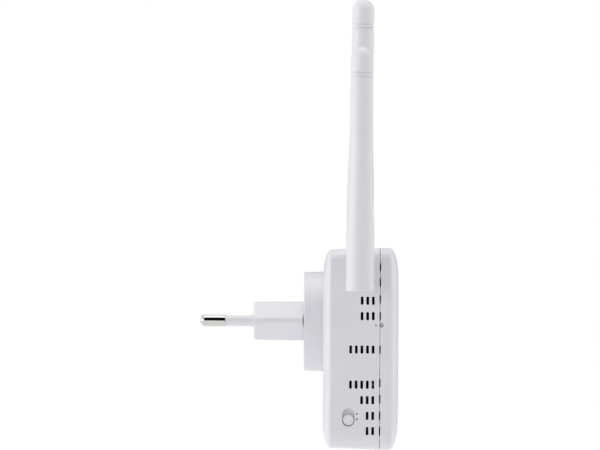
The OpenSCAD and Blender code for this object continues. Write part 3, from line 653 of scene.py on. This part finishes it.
# ---------------------------------------------------------------------------------------------
# Light guide and lights
# Five clear acrylic pipes on one bar, with frosted faces in the front windows.
# ---------------------------------------------------------------------------------------------
clear = Finish("clear_acrylic", (0.86, 0.90, 0.92), 0.3, ior=1.49, transmission_weight=0.85)
clear.feed("Roughness", clear.noise(0.4, 2) * 0.2 + 0.2)
guide_y = FRONT_Y + np.array([-0.03, -0.03, -0.01, 0.05, 0.15, 5.9])
guide_r = np.array([0.02, 0.5, 0.85, 1.02, WINDOW_D / 2, WINDOW_D / 2])
pipes = [turned(np.stack([guide_y, guide_r], 1), x, LED_Z, 32) for x in LED_X]
guide = ring_mesh("light_guide_pipes", pipes)
bar = front_outline(4 * LED_PITCH + 3.2, 2.8, 1.39, [FRONT_Y + WALL + 0.05, FRONT_Y + WALL + 1.25], LED_Z)
carve(guide, ring_mesh("guide_bar", [bar]), "UNION")
finish_piece(guide, "housing", clear.material, ["light_guide"])


# ---------------------------------------------------------------------------------------------
# Cover screws
# Four steel pan-head screws at the bottom of their wells, each with a cross recess.
# ---------------------------------------------------------------------------------------------
zinc = Finish("zinc_steel", (0.52, 0.52, 0.53), 0.35, metallic=1.0)
zinc.feed("Roughness", zinc.noise(0.3, 3) * 0.25 + 0.25)
head = quarter(6)
HEAD_Y = -33.45
profile = [(HEAD_Y + 1.7, 0.02)] + [(HEAD_Y + 0.9 + 0.8 * math.cos(a), 2.35 * math.sin(a)) for a in head[1:]]
profile += [(HEAD_Y, 2.35), (HEAD_Y, 1.1), (HEAD_Y - 8.6, 1.1), (HEAD_Y - 9, 0.7), (HEAD_Y - 9, 0.02)]
screws = ring_mesh("cover_screw_set", [turned(profile, x, z, 36) for x, z in COVER_SCREWS])
for turn_by in (0, math.pi / 2):
    blade = round_outline(2.6, 0.5, 0.1, 2, 1)[0]
    c, s = math.cos(turn_by), math.sin(turn_by)
    slots = [np.stack([np.stack([x + blade[:, 0] * c - blade[:, 1] * s, yy + 0 * blade[:, 0],
                                 z + blade[:, 0] * s + blade[:, 1] * c], -1)
                       for yy in (HEAD_Y + 2, HEAD_Y + 0.7)]) for x, z in COVER_SCREWS]
    carve(screws, ring_mesh("cross_slots", slots))
finish_piece(screws, "housing", zinc.material, ["cover_screws"])


# ---------------------------------------------------------------------------------------------
# Inner parts
# Everything that the vents, the network socket and the reset hole let one see keeps its CAD
# shape, with the finish of the real part.
# ---------------------------------------------------------------------------------------------
def speckled(name, colour, shade, size, roughness, depth=0.004, **constants):
    """A finish whose colour drifts between two tones, with relief of the same grain."""
    finish = Finish(name, colour, roughness, **constants)
    grain = finish.noise(size, 3)
    finish.feed("Base Color", finish.blend(grain, colour, shade))
    finish.feed("Roughness", grain * 0.2 + (roughness - 0.1))
    finish.bump(grain, depth)
    return finish.material


inner_finishes = {
    "button_plastic": speckled("stem_acetal", (0.72, 0.72, 0.74), (0.66, 0.66, 0.68), 0.3, 0.35),
    "brass": speckled("stamped_brass", (0.72, 0.52, 0.22), (0.60, 0.42, 0.17), 0.8, 0.3, metallic=1.0),
    "steel": zinc.material,
    "tin_plate": speckled("tin_plate", (0.62, 0.62, 0.61), (0.52, 0.52, 0.52), 1.5, 0.35, metallic=1.0),
    "black_plastic": speckled("black_nylon", (0.012, 0.012, 0.013), (0.02, 0.02, 0.021), 0.4, 0.5),
    "circuit_board": speckled("solder_mask", (0.02, 0.10, 0.045), (0.03, 0.13, 0.06), 1.2, 0.35),
    "blue_enamel": speckled("blue_enamel", (0.05, 0.13, 0.38), (0.07, 0.17, 0.45), 0.8, 0.3),
    "capacitor_sleeve": speckled("capacitor_sleeve", (0.015, 0.022, 0.06), (0.02, 0.03, 0.08), 2.0, 0.25),
    "ferrite": speckled("ferrite", (0.03, 0.03, 0.032), (0.05, 0.05, 0.052), 0.3, 0.6),
    "winding_tape": speckled("polyester_tape", (0.62, 0.42, 0.02), (0.7, 0.5, 0.04), 3.0, 0.25),
    "pad_rubber": speckled("thermal_pad", (0.15, 0.23, 0.33), (0.2, 0.28, 0.38), 0.4, 0.8),
    "cable_jacket": speckled("cable_jacket", (0.015, 0.015, 0.016), (0.03, 0.03, 0.032), 0.5, 0.45),
    "led_resin": speckled("led_resin", (0.75, 0.72, 0.45), (0.8, 0.78, 0.52), 0.4, 0.3),
}
slot_of = {row["node"]: row["material_slot"] for row in frame["record"]["subparts"]}
for name, node in frame["nodes"].items():
    if not node.hide_render:
        for holder in node.material_slots:
            holder.material = inner_finishes[slot_of[name]]
        if not node.material_slots:
            node.data.materials.append(inner_finishes[slot_of[name]])


# ---------------------------------------------------------------------------------------------
# Studio
# A white sweep all round with soft cards, a black flag that draws a dark line along the bright
# pins, and a nearly level camera with a long lens that looks along the housing's width.
# ---------------------------------------------------------------------------------------------
scene = bpy.context.scene
scene.view_settings.view_transform = "Standard"

world = bpy.data.worlds.new("studio")
scene.world = world
world.use_nodes = True


class Studio(Finish):
    """The world's nodes, built with the same node method as a finish."""

    def __init__(self, tree):
        self.tree = tree
        self.way = self.node("ShaderNodeTexCoord", {}, {}, "Generated")

    def card(self, direction, strength, spread):
        """A soft card: its light falls as exp(spread * (cos(angle) - 1)) away from its direction."""
        values = {0: self.way, 1: Vector(direction).normalized()}
        along = self.node("ShaderNodeVectorMath", {"operation": "DOT_PRODUCT"}, values, "Value")
        return ((along - 1.0) * spread).math("EXPONENT") * strength

    def flag(self, y, half_width, low, high):
        """A black flag that stands behind the camera: 1 between two heights and near y, else 0."""
        part = [self.node("ShaderNodeSeparateXYZ", {}, {0: self.way}, name) for name in "XYZ"]
        behind = self.node("ShaderNodeMath", {"operation": "LESS_THAN"}, {0: part[0], 1: 0.0}, 0)
        across = self.node("ShaderNodeMath", {"operation": "COMPARE"}, {0: part[1], 1: y, 2: half_width}, 0)
        span = {0: part[2], 1: (low + high) / 2, 2: (high - low) / 2}
        return behind * across * self.node("ShaderNodeMath", {"operation": "COMPARE"}, span, 0)


studio = Studio(world.node_tree)
AMBIENT, FLAG_DARKNESS = 0.35, 0.98
total = studio.card((-0.45, 0.89, 0), 3.4, 20) + AMBIENT
for direction, strength, spread in (((0.20, 0.95, 0.20), 1.75, 10), ((0, 0, 1), 2.3, 10),
                                    ((-0.30, -0.70, 0.65), 1.5, 16), ((0.30, -0.95, 0), 1.15, 10)):
    total = total + studio.card(direction, strength, spread)
total = total * (1.0 - studio.flag(0.03, 0.08, -0.2, 0.9) * FLAG_DARKNESS)
camera_ray = studio.node("ShaderNodeLightPath", {}, {}, "Is Camera Ray")
light = studio.node("ShaderNodeMath", {"operation": "MAXIMUM"}, {0: camera_ray, 1: total}, 0)
background = world.node_tree.nodes["Background"]
world.node_tree.links.new(light.link, background.inputs["Color"])
background.inputs["Strength"].default_value = 1.0

floor_mesh = bpy.data.meshes.new("floor")
FLOOR_HALF, FLOOR_Z = 6, -0.3
corners = [(x * FLOOR_HALF, y * FLOOR_HALF, FLOOR_Z) for x, y in ((-1, -1), (1, -1), (1, 1), (-1, 1))]
floor_mesh.from_pydata(corners, [], [(0, 1, 2, 3)])
floor = bpy.data.objects.new("floor", floor_mesh)
scene.collection.objects.link(floor)
pale = Finish("pale_floor", (0.93, 0.93, 0.93), 0.8)
floor_mesh.materials.append(pale.material)

camera_data = bpy.data.cameras.new("camera")
camera_data.sensor_width, camera_data.lens = 36, 251
camera_data.clip_start, camera_data.clip_end = 0.05, 30
camera = bpy.data.objects.new("camera", camera_data)
scene.collection.objects.link(camera)
CAMERA_AT = Vector((-1.494, -0.030, -0.0096))
AIM_AT = Vector((0.0, -0.01601, 0.03433))
upright = (AIM_AT - CAMERA_AT).to_track_quat("-Z", "Y").to_matrix().to_4x4()
ROLL_DEGREES = 0.35
roll = Matrix.Rotation(math.radians(ROLL_DEGREES), 4, "Z")
camera.matrix_world = Matrix.Translation(CAMERA_AT) @ upright @ roll
scene.camera = camera
